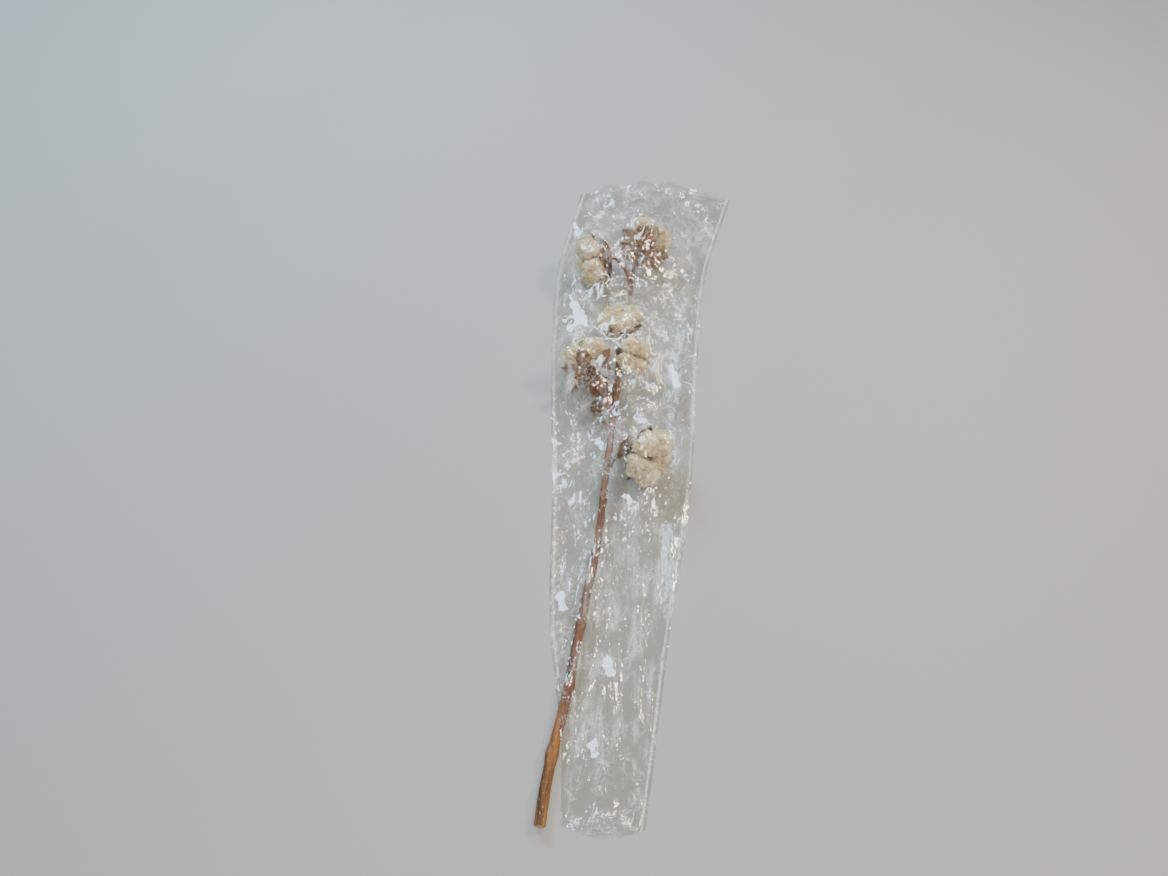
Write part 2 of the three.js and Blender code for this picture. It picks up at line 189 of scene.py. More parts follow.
def bark_relief(p, n):
    ridges = noise.noise(Vector((p.x * 520, p.y * 26, p.z * 520))) * 0.22
    wrinkles = noise.noise(Vector((p.x * 1300, p.y * 130, p.z * 1300))) * 0.1
    gnarls = max(0.0, noise.noise(p * 75 + Vector((4, 1, 7))) - 0.28) * 0.9
    at_cut = min(1.0, max(0.0, (p.y - cut_end - 1.2 * mm) / (2 * mm)))
    return (ridges + wrinkles + gnarls) * mm * at_cut


push_along_normals(stem, bark_relief)
stem.data.materials.append(bark)
stem.data.materials.append(pith)
for face in stem.data.polygons:
    face.material_index = 1 if face.center.y < cut_end + 0.9 * mm and face.normal.y < -0.55 else 0
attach(stem, "root")
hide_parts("stem")

# ---------------------------------------------------------------------------
# Burrs
# The boll's woody capsule, split into four or five boat-shaped valves that dried and curled back, each
# ending in a hard point. They are rough and dark outside, and paler and smoother on the lint's side.
# ---------------------------------------------------------------------------

# base: where the boll meets its twig, in millimetres; axis: the way it faces; spin: degrees about that axis.
bolls = [
    {"name": "boll_1", "locks": 5, "scale": 1, "spin": 18, "base": (-40.47, 221.95, 32.5),
     "axis": (-0.93, -0.33, 0), "bract_spin": 95, "bract_lift": 11},
    {"name": "boll_2", "locks": 4, "scale": 1, "spin": 45, "base": (-6.47, 229.95, 37),
     "axis": (0.3, 0.93, -0.2), "bract_spin": 90, "bract_lift": 13},
    {"name": "boll_3", "locks": 4, "scale": 0.88, "spin": 20, "base": (-19.47, 112.95, 28.5),
     "axis": (-0.2, 0.42, 0.88), "bract_spin": None, "bract_lift": 0},
    {"name": "boll_4", "locks": 5, "scale": 0.95, "spin": 18, "base": (-46.47, 56.95, 31.5),
     "axis": (-0.32, 0.95, 0.02), "bract_spin": 180, "bract_lift": -14},
    {"name": "boll_5", "locks": 4, "scale": 0.72, "spin": 45, "base": (-14.47, 81.95, 33.5),
     "axis": (0.62, -0.45, 0.64), "bract_spin": None, "bract_lift": 0},
    {"name": "boll_6", "locks": 5, "scale": 1, "spin": 0, "base": (1.53, -26.05, 28),
     "axis": (0.7, -0.6, 0.35), "bract_spin": 60, "bract_lift": 9},
]
valve_run = [(2.6, 3.2), (10, 4.2), (17, 7), (23, 11), (27, 14), (30, 16)]  # radius and height along a keel
valve_steps, valve_columns = 26, 12


def boll_place(boll):
    """The boll's own frame, in millimetres with +Z the way it faces, as a matrix to metres."""
    turn = Vector((0, 0, 1)).rotation_difference(Vector(boll["axis"]).normalized()).to_matrix().to_4x4()
    spin = Matrix.Rotation(math.radians(boll["spin"]), 4, "Z")
    return Matrix.Translation(Vector(boll["base"]) * mm) @ turn @ spin @ Matrix.Scale(boll["scale"] * mm, 4)


def along_run(run, share):
    """A point and direction at a share of the way along a run of (radius, height) points."""
    spot = share * (len(run) - 1)
    i = min(int(spot), len(run) - 2)
    f = spot - i
    before, start, end, after = (run[min(max(k, 0), len(run) - 1)] for k in (i - 1, i, i + 1, i + 2))
    def bend(a, b, c, d):
        return 0.5 * (2 * b + (c - a) * f + (2 * a - 5 * b + 4 * c - d) * f * f
                      + (3 * b - a - 3 * c + d) * f ** 3)
    def slope(a, b, c, d):
        return 0.5 * ((c - a) + 2 * (2 * a - 5 * b + 4 * c - d) * f + 3 * (3 * b - a - 3 * c + d) * f * f)
    point, ahead = (Vector([rule(before[k], start[k], end[k], after[k]) for k in (0, 1)])
                    for rule in (bend, slope))
    return point, ahead.normalized()


def grown_blade(name, steps, columns, surface, thickness, materials):
    """A thin blade from a flat grid, in millimetres: surface(u, v) bends it, u along 0..1, v across -1..1."""
    bpy.ops.mesh.primitive_grid_add(x_subdivisions=steps, y_subdivisions=columns, size=2)
    blade = bpy.context.object
    blade.name = name
    for vertex in blade.data.vertices:
        vertex.co = surface((vertex.co.x + 1) / 2, vertex.co.y)
    for material in materials:
        blade.data.materials.append(material)
    wall = blade.modifiers.new("wall", "SOLIDIFY")
    wall.thickness = thickness
    wall.offset = 0
    wall.material_offset = wall.material_offset_rim = len(materials) - 1
    bpy.ops.object.modifier_apply(modifier="wall")
    blade.select_set(False)
    return blade


def joined(name, pieces, turn):
    """Joins pieces modelled in a boll's own frame, and sets the result in its place on the bunch."""
    bpy.ops.object.select_all(action="DESELECT")
    for piece in pieces:
        piece.select_set(True)
    bpy.context.view_layer.objects.active = pieces[0]
    bpy.ops.object.join()
    whole = bpy.context.object
    whole.name = whole.data.name = name
    whole.data.transform(turn)
    bpy.ops.object.mode_set(mode="EDIT")
    bpy.ops.mesh.select_all(action="SELECT")
    bpy.ops.mesh.normals_make_consistent(inside=False)
    bpy.ops.object.mode_set(mode="OBJECT")
    bpy.ops.object.shade_smooth_by_angle(angle=math.radians(50))
    whole.select_set(False)
    return whole


burr_outside, nodes, links, shader = new_material("burr_outside", 0.7)
rough = stretched_noise(nodes, links, 420, (1, 1, 1), 7)
rough_colour = ramp(nodes, links, rough.outputs["Fac"],
                    [(0.32, (0.018, 0.008, 0.004)), (0.48, (0.09, 0.036, 0.014)), (0.62, (0.2, 0.086, 0.03)),
                     (0.78, (0.34, 0.18, 0.075))])
links.new(rough_colour.outputs["Color"], shader.inputs["Base Color"])
bumped(nodes, links, shader, rough.outputs["Fac"], 1.0, 0.0008)

burr_inside, nodes, links, shader = new_material("burr_inside", 0.45)
lining = stretched_noise(nodes, links, 300, (1, 1, 1), 5)
lining_colour = ramp(nodes, links, lining.outputs["Fac"],
                     [(0.32, (0.1, 0.046, 0.02)), (0.5, (0.3, 0.165, 0.075)), (0.7, (0.48, 0.31, 0.16))])
links.new(lining_colour.outputs["Color"], shader.inputs["Base Color"])
bumped(nodes, links, shader, lining.outputs["Fac"], 0.5, 0.0004)


def valve(boll, index, dice):
    azimuth = (index + 0.5) * 2 * math.pi / boll["locks"]
    widest = 34 / boll["locks"]
    lean = dice.uniform(-1.6, 1.6)
    curl = dice.uniform(0.7, 1.4)
    seed = Vector((dice.uniform(0, 50), dice.uniform(0, 50), 0))

    def surface(u, v):
        at, ahead = along_run(valve_run, u)
        half = 2.6 * (1 - u) + 0.25 * u + widest * math.sin(math.pi * min(1, u ** 0.9)) ** 1.1
        rise = (2.2 * v * v + 1.1 * abs(v) ** 6) * math.sin(math.pi * min(u + 0.08, 1)) * curl
        keel = -0.45 * math.exp(-(v / 0.14) ** 2) * math.sin(math.pi * u)
        relief = noise.noise(Vector((u * 9, v * 4, 0)) + seed) * 0.6
        ribs = math.sin(v * 15 + noise.noise(Vector((u * 6, v * 2, 3)) + seed) * 3) * 0.14
        lift = rise + keel + relief + ribs
        margin = 1 + 0.1 * noise.noise(Vector((u * 9, v, 9)) + seed)
        spot = Vector((at.x - ahead.y * lift, v * half * margin + lean * u * u, at.y + ahead.x * lift))
        return Matrix.Rotation(azimuth, 3, "Z") @ spot

    return grown_blade("valve", valve_steps, valve_columns, surface, 1.0, [burr_outside, burr_inside])


def receptacle(dice):
    """The knob at the foot of the boll that all the valves grow from."""
    bpy.ops.mesh.primitive_uv_sphere_add(segments=28, ring_count=18, radius=5.4)
    knob = bpy.context.object
    knob.data.materials.append(burr_outside)
    seed = dice.uniform(0, 90)
    for vertex in knob.data.vertices:
        p = vertex.co
        lumps = 1 + 0.1 * noise.noise(p * 0.5 + Vector((seed, 0, 0))) + 0.05 * noise.noise(p * 1.6)
        vertex.co = Vector((p.x * lumps, p.y * lumps, 2.9 + p.z * 0.5 * lumps))
    return knob


for number, boll in enumerate(bolls):
    dice = random.Random(100 + number)
    pieces = [receptacle(dice)] + [valve(boll, index, dice) for index in range(boll["locks"])]
    burr = joined(boll["name"] + "_woody_burr", pieces, boll_place(boll))
    push_along_normals(burr, lambda p, n: noise.noise(p * 620) * 0.16 * mm)
    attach(burr, "root")
    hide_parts(boll["name"] + "_burr")
    boll["burr"] = burr

# ---------------------------------------------------------------------------
# Locks of lint
# Each chamber of the boll held one lock: eight or so seeds in one tuft of cream fibre. The lock has
# fluffed out past its valves, lumpy over its seeds, with stray fibres all over.
# ---------------------------------------------------------------------------

fibre_radius = 0.07 * mm
fibres_per_lock = 300
fibre_joints = 6
floor_clearance = 0.9 * mm

lint, nodes, links, shader = new_material("cotton_lint", 0.95)
cloud = stretched_noise(nodes, links, 130, (1, 1, 1), 6)
cloud_colour = ramp(nodes, links, cloud.outputs["Fac"],
                    [(0.28, (0.42, 0.26, 0.1)), (0.4, (0.7, 0.52, 0.25)), (0.54, (0.84, 0.69, 0.38)),
                     (0.72, (0.93, 0.82, 0.54))])
links.new(cloud_colour.outputs["Color"], shader.inputs["Base Color"])
shader.inputs["Subsurface Weight"].default_value = 0.25
shader.inputs["Subsurface Radius"].default_value = (1.0, 0.8, 0.55)
shader.inputs["Subsurface Scale"].default_value = 0.004
shader.inputs["Sheen Weight"].default_value = 0.35
shader.inputs["Sheen Roughness"].default_value = 0.6
fluff = stretched_noise(nodes, links, 1100, (1, 1, 1), 5)
bumped(nodes, links, shader, fluff.outputs["Fac"], 0.9, 0.0009)


def lint_relief(seed):
    def amount(p, n):
        q = p * 1000 + seed
        seeds = noise.noise(q * 0.15) * 2.2
        tufts = noise.noise(q * 0.36) * 1.3
        wisps = noise.noise(q * 0.95) * 0.55
        creases = -max(0.0, 0.18 - abs(noise.noise(q * 0.19 + Vector((9, 9, 9))))) * 9
        lift = (seeds + tufts + wisps + creases + 0.5) * mm
        return lift if p.z + n.z * lift > floor_clearance else 0.0
    return amount


def add_fibres(piece, dice):
    """Curly stray fibres, each a thin three-sided thread that starts in the tuft and bends back to it."""
    mesh = piece.data
    faces = mesh.polygons
    middle = sum((v.co for v in mesh.vertices), Vector()) / len(mesh.vertices)
    points, sides = [], []
    for _ in range(fibres_per_lock):
        face = faces[dice.randrange(len(faces))]
        spot, normal = Vector(face.center), Vector(face.normal)
        heading = normal * dice.uniform(0.25, 1.0) + Vector([dice.gauss(0, 1) for _ in range(3)]) * 0.75
        heading.normalize()
        step = dice.uniform(0.8, 1.7) * mm
        spot = spot - normal * 0.4 * mm
        first = len(points)
        for joint in range(fibre_joints + 1):
            aside = heading.orthogonal().normalized()
            upward = heading.cross(aside)
            taper = fibre_radius * (1 - 0.6 * joint / fibre_joints)
            for k in range(3):
                angle = k * 2 * math.pi / 3
                points.append(spot + (aside * math.cos(angle) + upward * math.sin(angle)) * taper)
            inward = (middle - spot).normalized() * 0.22
            heading = (heading + Vector([dice.gauss(0, 0.42) for _ in range(3)]) + inward).normalized()
            spot = spot + heading * step
            spot.z = max(spot.z, floor_clearance)
        for joint in range(fibre_joints):
            a, b = first + 3 * joint, first + 3 * joint + 3
            sides += [(a + k, a + (k + 1) % 3, b + (k + 1) % 3, b + k) for k in range(3)]
        sides += [(first + 2, first + 1, first), tuple(first + 3 * fibre_joints + k for k in range(3))]
    threads = bpy.data.meshes.new(piece.name + "_threads")
    threads.from_pydata(points, [], sides)
    whole = bmesh.new()
    whole.from_mesh(mesh)
    whole.from_mesh(threads)
    whole.to_mesh(mesh)
    whole.free()
    bpy.data.meshes.remove(threads)
    for face in mesh.polygons:
        face.use_smooth = True


lint_pieces = []
for number, boll in enumerate(bolls):
    for index in range(1, boll["locks"] + 1):
        dice = random.Random(1000 * number + index)
        node = f"{boll['name']}_lock_{index}"
        lock = grown_from(node, f"{boll['name']}_lint_{index}", 0.8 * mm)
        push_along_normals(lock, lint_relief(Vector([dice.uniform(0, 99) for _ in range(3)])))
        add_fibres(lock, dice)
        lock.data.materials.append(lint)
        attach(lock, "root")
        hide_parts(node)
        lint_pieces.append(lock)

# ---------------------------------------------------------------------------
# Bracts
# Three papery leaves stood round each boll on the plant. On four of the bolls they are still there,
# dried tan, veined, and cut into long teeth that have curled.
# ---------------------------------------------------------------------------

bract_steps, bract_columns, bract_teeth = 26, 36, 9


def leaf_material(name, stops):
    leaf, nodes, links, shader = new_material(name, 0.75)
    veins = stretched_noise(nodes, links, 350, (1, 1, 1), 6)
    leaf_colour = ramp(nodes, links, veins.outputs["Fac"], stops)
    links.new(leaf_colour.outputs["Color"], shader.inputs["Base Color"])
    bumped(nodes, links, shader, veins.outputs["Fac"], 0.7, 0.0005)
    return leaf


tan_leaf = leaf_material("dry_bract", [(0.34, (0.07, 0.026, 0.009)), (0.46, (0.24, 0.1, 0.032)),
                                       (0.58, (0.42, 0.21, 0.07)), (0.74, (0.58, 0.37, 0.16))])
rust_leaf = leaf_material("rusty_bract", [(0.34, (0.06, 0.02, 0.007)), (0.46, (0.22, 0.078, 0.02)),
                                          (0.58, (0.38, 0.155, 0.04)), (0.74, (0.54, 0.29, 0.1))])


def bract(azimuth, lift_to, leaf, dice):
    seed = Vector((dice.uniform(0, 60), dice.uniform(0, 60), 0))
    curls = [dice.uniform(-1, 1) for _ in range(bract_teeth + 1)]

    def surface(u, v):
        tooth = (v + 1) / 2 * bract_teeth
        notch = 0.5 + 0.5 * math.cos(2 * math.pi * tooth)
        share = u * (1 - notch * 0.36 * max(0.0, u - 0.25) / 0.75)
        height = -1.5 + lift_to * share ** 1.8
        half = 2.4 + 10.5 * math.sin(math.pi * (share * 0.86) ** 0.9)
        cup = 1.6 * v * v * math.sin(math.pi * min(1, share + 0.1))
        ripple = noise.noise(Vector((share * 5, v * 2.4, 0)) + seed) * 2.4 * share
        pleats = 0.4 * math.sin(v * bract_teeth * math.pi) * share
        curled = curls[min(int(tooth), bract_teeth)] * 3.4 * max(0.0, u - 0.7) ** 1.3
        vein = -0.15 * math.exp(-(v / 0.05) ** 2) * (1 - share)
        spot = Vector((4 + 26.5 * share, v * half, height + cup + ripple + pleats + curled + vein))
        return Matrix.Rotation(azimuth, 3, "Z") @ spot

    return grown_blade("bract", bract_steps, bract_columns, surface, 0.28, [leaf])


def calyx(leaf):
    """The small ring that holds the three bracts to the end of the twig."""
    bpy.ops.mesh.primitive_torus_add(major_segments=30, minor_segments=10,
                                     major_radius=4.15, minor_radius=0.85)
    ring = bpy.context.object
    ring.data.materials.append(leaf)
    for vertex in ring.data.vertices:
        angle = math.atan2(vertex.co.y, vertex.co.x)
        vertex.co.z = -1.45 + vertex.co.z * (1.1 + 0.15 * math.sin(5 * angle))
    return ring


for number, boll in enumerate(bolls):
    if boll["bract_spin"] is None:
        continue
    dice = random.Random(500 + number)
    turns = [math.radians(boll["bract_spin"]) + index * 2 * math.pi / 3 for index in range(3)]
    leaf = rust_leaf if boll["name"] == "boll_4" else tan_leaf
    pieces = [calyx(leaf)] + [bract(turn, boll["bract_lift"], leaf, dice) for turn in turns]
    bracts = joined(boll["name"] + "_papery_bracts", pieces, boll_place(boll))
    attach(bracts, "root")
    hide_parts(boll["name"] + "_bracts")
    boll["bracts"] = bracts

# ---------------------------------------------------------------------------
# Closed pod
# A late boll that never opened: small, hard and dark, with the seams of its valves showing as grooves
# that meet at the pointed tip.
# ---------------------------------------------------------------------------

pod = grown_from("closed_pod", "late_closed_pod", 0.4 * mm)
pod_middle = (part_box("closed_pod")[0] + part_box("closed_pod")[1]) / 2
pod_axis = Vector((-0.42, 0.9, 0.06)).normalized()
pod_side = pod_axis.orthogonal().normalized()
pod_front = pod_axis.cross(pod_side)


def pod_relief(p, n):
    out = p - pod_middle
    angle = math.atan2(out.dot(pod_side), out.dot(pod_front))
    seam = -0.55 * max(0.0, math.cos(4 * angle)) ** 12
    return (seam + 0.3 * noise.noise(p * 420)) * mm


push_along_normals(pod, pod_relief)
pod.data.materials.append(burr_outside)
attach(pod, "root")
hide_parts("closed_pod")

# ---------------------------------------------------------------------------
# Film sleeve
# Two tapered panels of clear cellophane, welded along both long sides and open at head and foot. The
# left weld has come open near the foot, where the stem sticks out. The film is stiff and thin, so it
# creases into small facets that each catch the light, and into long folds beside the stem.
# ---------------------------------------------------------------------------

# The two welded edges from the foot to the head, in millimetres.
sleeve_left = [(-35.47, -364.05, 0.6), (-40.47, -306.05, 0.6), (-61.47, -202.05, 2), (-74.47, -62.05, 10),
               (-90.47, 77.95, 20), (-97.47, 212.95, 18), (-84.47, 353.95, 4)]
sleeve_right = [(31.53, -362.05, 0.6), (37.53, -292.05, 1), (44.53, -202.05, 3), (58.53, -62.05, 16),
                (61.53, 77.95, 16), (68.53, 217.95, 12), (97.53, 359.95, 3)]
seam_open_to = -247.05 * mm
foot_bow, head_bow, bow_fade = 8, 14, 6
mouth_opening = 13 * mm
film_columns, film_rows = 92, 380
film_clearance = 0.8 * mm  # from the bunch up to the taut film
crease_bite = 0.3 * mm  # how much of that a crease may take back
front_rise, back_rise = 0.5 * mm, 0.2 * mm  # from the welded edge to each panel
back_clearance = 0.4 * mm  # under the bunch and under the front panel
film_sag, settling_rounds = 0.006 * mm, 4000
flare_from, flare_over = 0.3, 0.06
weld_inner, weld_outer = 4.4 * mm, 2.6 * mm


def combined(operation, first, second):
    """The value that a math node makes of two sockets of the film's material."""
    node = nodes.new("ShaderNodeMath")
    node.operation = operation
    links.new(first, node.inputs[0])
    links.new(second, node.inputs[1])
    return node.outputs["Value"]


def mixed(share, first, second):
    """The first shader of the film's material, turning into the second as the share rises."""
    node = nodes.new("ShaderNodeMixShader")
    links.new(share, node.inputs["Fac"])
    links.new(first, node.inputs[1])
    links.new(second, node.inputs[2])
    return node.outputs["Shader"]


film, nodes, links, shader = new_material("clear_film", 0.1)
nodes.remove(shader)
output = nodes["Material Output"]
clear = nodes.new("ShaderNodeBsdfTransparent")
gloss = nodes.new("ShaderNodeBsdfGlossy")
gloss.inputs["Roughness"].default_value = 0.13
clear.inputs["Color"].default_value = (0.88, 0.875, 0.835, 1)
# Flat white for the crease stress marks, the painted glint lines and the weld ribs.
marks_and_weld_white = nodes.new("ShaderNodeBsdfDiffuse")
marks_and_weld_white.inputs["Color"].default_value = (0.93, 0.93, 0.9, 1)
# The film mirrors 13% of the light head on, and 90% of it at a grazing angle.
glance = nodes.new("ShaderNodeLayerWeight")
glance.inputs["Blend"].default_value = 0.5
steep = nodes.new("ShaderNodeMath")
steep.operation = "POWER"
steep.inputs[1].default_value = 3.2
mirror = nodes.new("ShaderNodeMapRange")
mirror.inputs["To Min"].default_value = 0.13
mirror.inputs["To Max"].default_value = 0.9
links.new(glance.outputs["Facing"], steep.inputs[0])
links.new(steep.outputs["Value"], mirror.inputs["Value"])
ripples = stretched_noise(nodes, links, 240, (1, 0.3, 1), 1.5)
ripples.inputs["Distortion"].default_value = 0.6
ripple_bump = nodes.new("ShaderNodeBump")
ripple_bump.inputs["Strength"].default_value = 0.36
ripple_bump.inputs["Distance"].default_value = 0.0014
links.new(ripples.outputs["Fac"], ripple_bump.inputs["Height"])
for socket in (glance.inputs["Normal"], gloss.inputs["Normal"]):
    links.new(ripple_bump.outputs["Normal"], socket)
shine = mixed(mirror.outputs["Result"], clear.outputs["BSDF"], gloss.outputs["BSDF"])
# White stress marks along the sharpest creases and fold crests, and thin wavy painted highlights that stand
# in for the glints along the crinkles, both as flat white in patches; and the pressed ribs of the welds.
crease = nodes.new("ShaderNodeAttribute")
crease.attribute_name = "crease"
patches = stretched_noise(nodes, links, 60, (1, 0.6, 1), 4)
patchy = ramp(nodes, links, patches.outputs["Fac"], [(0.44, (0.02, 0.02, 0.02)), (0.6, (0.62, 0.62, 0.62))])
stress_and_glint_strokes = crease.outputs["Fac"]
# Painted highlights: thin wavy lines of flat white drawn by noise, not by the film's shape, for the glints
# along its crinkles.
for scale, stretch in ((95, (1, 0.5, 1)), (150, (0.55, 1, 1))):
    glint_line_noise = stretched_noise(nodes, links, scale, stretch, 2.5)
    glint_line_noise.inputs["Distortion"].default_value = 1.2
    painted_glint_stroke = ramp(nodes, links, glint_line_noise.outputs["Fac"],
                  [(0.488, (0, 0, 0)), (0.498, (1, 1, 1)), (0.502, (1, 1, 1)), (0.512, (0, 0, 0))])
    stress_and_glint_strokes = combined("MAXIMUM", stress_and_glint_strokes, painted_glint_stroke.outputs["Color"])
stress_and_painted_glint_marks = combined("MULTIPLY", stress_and_glint_strokes, patchy.outputs["Color"])
weld = nodes.new("ShaderNodeAttribute")
weld.attribute_name = "weld"
weld_ribs = stretched_noise(nodes, links, 700, (0.15, 1, 0.15), 2)
weld_tint = ramp(nodes, links, weld_ribs.outputs["Fac"],
                 [(0.35, (0.16, 0.16, 0.16)), (0.65, (0.5, 0.5, 0.5))])
ribbed = combined("MULTIPLY", weld.outputs["Fac"], weld_tint.outputs["Color"])
seen = mixed(combined("MAXIMUM", stress_and_painted_glint_marks, ribbed), shine, marks_and_weld_white.outputs["BSDF"])
# Film this thin hardly shades what is under it.
passing = nodes.new("ShaderNodeBsdfTransparent")
passing.inputs["Color"].default_value = (0.97, 0.975, 0.98, 1)
path = nodes.new("ShaderNodeLightPath")
lit = mixed(path.outputs["Is Shadow Ray"], seen, passing.outputs["BSDF"])
links.new(lit, output.inputs["Surface"])


def edge_curve(points, share):
    """A point at a share of the way along a smooth curve through the points (centripetal Catmull-Rom)."""
    points = [Vector(p) for p in points]
    points = [points[0] * 2 - points[1], *points, points[-1] * 2 - points[-2]]
    spot = share * (len(points) - 3)
    i = min(int(spot), len(points) - 4)
    w = spot - i
    p0, p1, p2, p3 = points[i:i + 4]
    d0, d1, d2 = ((b - a).length ** 0.5 for a, b in ((p0, p1), (p1, p2), (p2, p3)))
    t1 = ((p1 - p0) / d0 - (p2 - p0) / (d0 + d1) + (p2 - p1) / d1) * d1
    t2 = ((p2 - p1) / d1 - (p3 - p1) / (d1 + d2) + (p3 - p2) / d2) * d1
    return (p1 + t1 * w + (p1 * -3 + p2 * 3 - t1 * 2 - t2) * w ** 2
            + (p1 * 2 - p2 * 2 + t1 + t2) * w ** 3) * mm


def sleeve_plan(across, along):
    at = edge_curve(sleeve_left, along).lerp(edge_curve(sleeve_right, along), across)
    bow = head_bow * along ** bow_fade - foot_bow * (1 - along) ** bow_fade
    at.y += math.sin(math.pi * across) * bow * mm
    return at


def ray_tree(*pieces):
    """One tree of the faces of several pieces, for rays."""
    points, faces = [], []
    for piece in pieces:
        first = len(points)
        points += [v.co.copy() for v in piece.data.vertices]
        faces += [tuple(first + k for k in p.vertices) for p in piece.data.polygons]
    return BVHTree.FromPolygons(points, faces)


def crease_sheet(dice, step_x, step_y, depth):
    """A wide sheet of flat triangles with random heights: one size of crease."""
    across, along = int(0.3 / step_x) + 2, int(0.86 / step_y) + 2
    points = []
    for j in range(along):
        for i in range(across):
            x = -0.15 + (i + dice.uniform(-0.36, 0.36) + 0.5 * (j % 2)) * step_x
            y = -0.43 + (j + dice.uniform(-0.36, 0.36)) * step_y
            points.append(Vector((x, y, dice.uniform(-depth, depth))))
    faces = []
    for j in range(along - 1):
        for i in range(across - 1):
            a = j * across + i
            b, c, d = a + 1, a + across + 1, a + across
            faces += [(a, b, c), (a, c, d)] if dice.random() < 0.5 else [(a, b, d), (b, c, d)]
    return BVHTree.FromPolygons(points, faces)


def ray_height(tree, x, y, start, direction):
    hit = tree.ray_cast(Vector((x, y, start)), Vector((0, 0, direction)))[0]
    return None if hit is None else hit.z


bunch = [stem, pod, *lint_pieces] + [b["burr"] for b in bolls] + [b["bracts"] for b in bolls if "bracts" in b]
bunch_tree = ray_tree(*bunch)

dice = random.Random(7)
plan = np.zeros((film_columns + 1, film_rows + 1, 3))
for i in range(film_columns + 1):
    for j in range(film_rows + 1):
        free_i, free_j = 0 < i < film_columns, 0 < j < film_rows
        shift_i = dice.uniform(-0.3, 0.3) if free_i and free_j else 0
        shift_j = dice.uniform(-0.3, 0.3) if free_i and free_j else 0
        plan[i, j] = sleeve_plan((i + shift_i) / film_columns, (j + shift_j) / film_rows)

over, below = np.zeros(plan.shape[:2]), np.full(plan.shape[:2], 0.2)
for (i, j), _ in np.ndenumerate(over):
    x, y, _ = plan[i, j]
    top = ray_height(bunch_tree, x, y, 0.3, -1)
    if top is not None:
        over[i, j] = top + film_clearance
        below[i, j] = ray_height(bunch_tree, x, y, -0.01, 1) - back_clearance

share_across = np.linspace(0, 1, film_columns + 1)[:, None]
welded = plan[:, :, 2]
seam_open = plan[0, :, 1] < seam_open_to
over = np.maximum(over, welded + front_rise)
for _ in range(2):  # the film can't follow the bunch into its narrowest gaps
    over[1:-1, 1:-1] = np.maximum.reduce([over[1:-1, 1:-1], over[:-2, 1:-1], over[2:, 1:-1], over[1:-1, :-2],
                                          over[1:-1, 2:]])
drape = over + mouth_opening * np.sin(np.pi * share_across) * 0.6
drape[:, 0] = np.maximum(over[:, 0], (welded + mouth_opening * np.sin(np.pi * share_across))[:, 0])
drape[:, -1] = (welded + mouth_opening * np.sin(np.pi * share_across))[:, -1]
drape[0], drape[-1] = welded[0] + front_rise, welded[-1] + front_rise
for _ in range(settling_rounds):
    mean = (drape[:-2, 1:-1] + drape[2:, 1:-1] + drape[1:-1, :-2] + drape[1:-1, 2:]) / 4
    drape[1:-1, 1:-1] = np.maximum(over[1:-1, 1:-1], mean - film_sag)
    drape[0, seam_open] = np.maximum(over[0, seam_open], drape[1, seam_open])

upper_creases = [(15, 26, 4.0), (7, 11, 1.9), (3.2, 4.4, 0.25)]
lower_creases = [(10, 95, 2.7), (6, 28, 1.5), (3, 8, 0.25)]


def crumple(seed):
    """Heights of the creases over the plan: long folds beside the stem, short ones round the bolls."""
    sheets = random.Random(seed)
    fields = []
    for kinds in (lower_creases, upper_creases):
        trees = [crease_sheet(sheets, a * mm, b * mm, c * mm) for a, b, c in kinds]
        field = np.zeros(plan.shape[:2])
        for tree in trees:
            for (i, j), _ in np.ndenumerate(field):
                field[i, j] += ray_height(tree, plan[i, j, 0], plan[i, j, 1], 0.1, -1) or 0.0
        fields.append(field)
    high_up = np.clip((plan[:, :, 1] + 0.13) / 0.1, 0, 1)
    return fields[0] * (1 - high_up) + fields[1] * high_up


def pulled_folds(dice, count, start, end, height):
    """Narrow ridges from one line over the plan to another, where the film is pulled straight."""
    field = np.zeros(plan.shape[:2])
    for _ in range(count):
        a = Vector(start[0]).lerp(Vector(start[1]), dice.random()) * mm
        run = Vector(end[0]).lerp(Vector(end[1]), dice.random()) * mm - a
        x, y = plan[:, :, 0] - a.x, plan[:, :, 1] - a.y
        along = (x * run.x + y * run.y) / run.length_squared
        aside = np.abs(x * run.y - y * run.x) / run.length
        ridge = np.clip(1 - aside / (dice.uniform(1.3, 2.8) * mm), 0, 1)
        ridge *= np.clip(np.minimum(along, 1 - along) * 6, 0, 1)
        field = np.maximum(field, ridge * dice.uniform(0.55, 1) * height * mm)
    return field


# Where the film is pulled flat between folds: middle and half size in millimetres, and its two slopes.
flat_facets = [((-68, 124), (14, 30), (0.295, 0.108)), ((-9, -235), (7, 17), (0.29, -0.189)),
               ((-17, -302), (6, 20), (0.272, -0.252)), ((-55, -179), (6, 26), (0.248, -0.144)),
               ((-78, 236), (8, 18), (0.3, 0.2)), ((37, 60), (6, 22), (0.36, 0.05))]
edge_ease = np.clip(np.minimum(share_across, 1 - share_across) * 9, 0.0, 1) * np.ones_like(over)
mouth_flare = np.clip((plan[:, :, 1] - flare_from) / flare_over, 0, 1)


